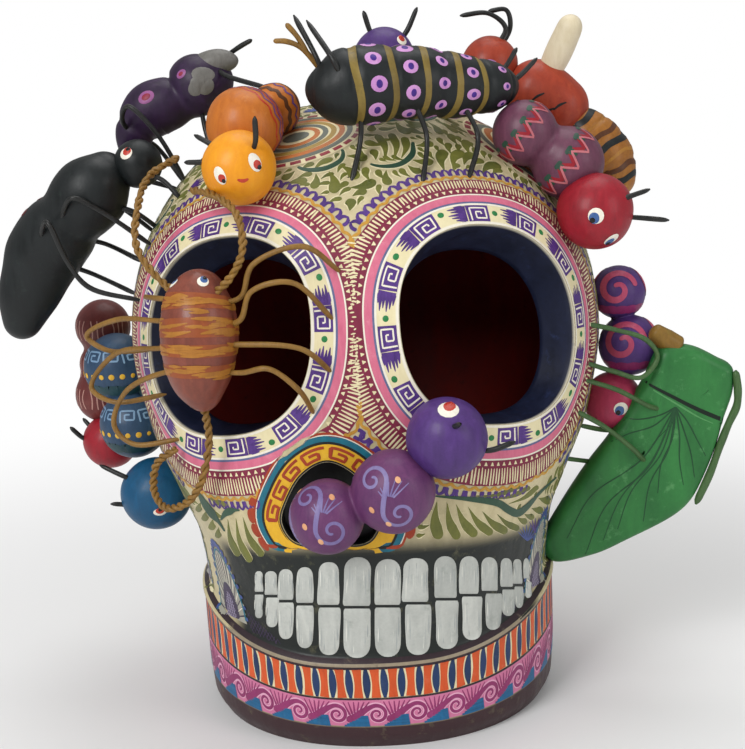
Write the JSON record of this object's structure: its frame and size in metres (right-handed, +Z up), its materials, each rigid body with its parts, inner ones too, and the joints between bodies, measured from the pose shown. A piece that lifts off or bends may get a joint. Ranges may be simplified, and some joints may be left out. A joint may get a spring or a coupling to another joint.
{
  "type": "sugar skull ornament",
  "caption": "Life-size hollow painted clay skull on a flat foot, with clay grubs and insects seated on it or standing off it on wires.",
  "frame": {"origin": "centre of the foot's underside", "axes": "+X to the viewer's right, the face looks along -Y, +Z up"},
  "size_m": [0.2982, 0.2259, 0.2795],
  "materials": {
    "skull_paint": "hand painted, glossy varnish",
    "black_wire": "brushed-on enamel paint",
    "ochre_wire": "brushed-on enamel paint",
    "green_wire": "brushed-on enamel paint",
    "mauve_paint": "hand painted, glossy varnish",
    "violet_paint": "hand painted, glossy varnish",
    "orange_paint": "hand painted, glossy varnish",
    "yellow_paint": "hand painted, glossy varnish",
    "plum_paint": "hand painted, glossy varnish",
    "red_paint": "hand painted, glossy varnish",
    "pink_paint": "hand painted, glossy varnish",
    "navy_paint": "hand painted, glossy varnish",
    "teal_paint": "hand painted, glossy varnish",
    "brick_paint": "hand painted, glossy varnish",
    "rust_paint": "hand painted, glossy varnish",
    "black_paint": "hand painted, glossy varnish",
    "copper_paint": "hand painted, glossy varnish",
    "dark_violet_paint": "hand painted, glossy varnish",
    "grey_paint": "hand painted, glossy varnish",
    "bone_paint": "hand painted, glossy varnish",
    "olive_paint": "hand painted, glossy varnish",
    "leaf_paint": "hand painted, glossy varnish"
  },
  "bodies": {
    "root": {"skull_shell": "skull_paint", "nose_grub_feelers": "black_wire", "socket_bug_legs_1": "ochre_wire", "socket_bug_legs_2": "ochre_wire", "socket_bug_legs_3": "ochre_wire", "socket_bug_legs_4": "ochre_wire", "socket_bug_feelers": "ochre_wire", "socket_bug_tail": "ochre_wire", "ant_legs_1": "black_wire", "ant_legs_2": "black_wire", "ant_legs_3": "black_wire", "ant_legs_4": "black_wire", "moth_legs_1": "black_wire", "moth_legs_2": "black_wire", "moth_feelers": "black_wire", "yellow_grub_feelers": "black_wire", "beetle_legs_1": "black_wire", "beetle_legs_2": "black_wire", "beetle_legs_3": "black_wire", "beetle_horns": "black_wire", "beetle_fork": "ochre_wire", "beetle_tail_pins": "black_wire", "crown_grub_feelers": "black_wire", "wasp_feelers": "black_wire", "wasp_legs_1": "black_wire", "wasp_legs_2": "black_wire", "red_grub_feelers": "black_wire", "katydid_legs_1": "green_wire", "katydid_legs_2": "green_wire", "katydid_legs_3": "green_wire", "blue_grub_feelers": "black_wire", "brick_grub_feelers": "black_wire", "katydid_hind_leg": "green_wire", "nose_grub_body": "mauve_paint", "nose_grub_head": "violet_paint", "yellow_grub_body": "orange_paint", "yellow_grub_head": "yellow_paint", "crown_grub_body": "violet_paint", "crown_grub_head": "violet_paint", "red_grub_body": "plum_paint", "red_grub_head": "red_paint", "scroll_grub_body": "violet_paint", "scroll_grub_head": "pink_paint", "blue_grub_body": "navy_paint", "blue_grub_head": "teal_paint", "brick_grub_body": "brick_paint", "brick_grub_head": "red_paint", "wasp_head": "rust_paint", "wasp_thorax": "rust_paint", "ant_head": "black_paint", "socket_bug_body": "copper_paint", "ant_body": "black_paint", "moth_body": "dark_violet_paint", "moth_snout": "grey_paint", "beetle_body": "black_paint", "wasp_abdomen": "orange_paint", "wasp_sting": "bone_paint", "katydid_stub": "olive_paint", "katydid_wing": "leaf_paint"}
  },
  "joints": []
}
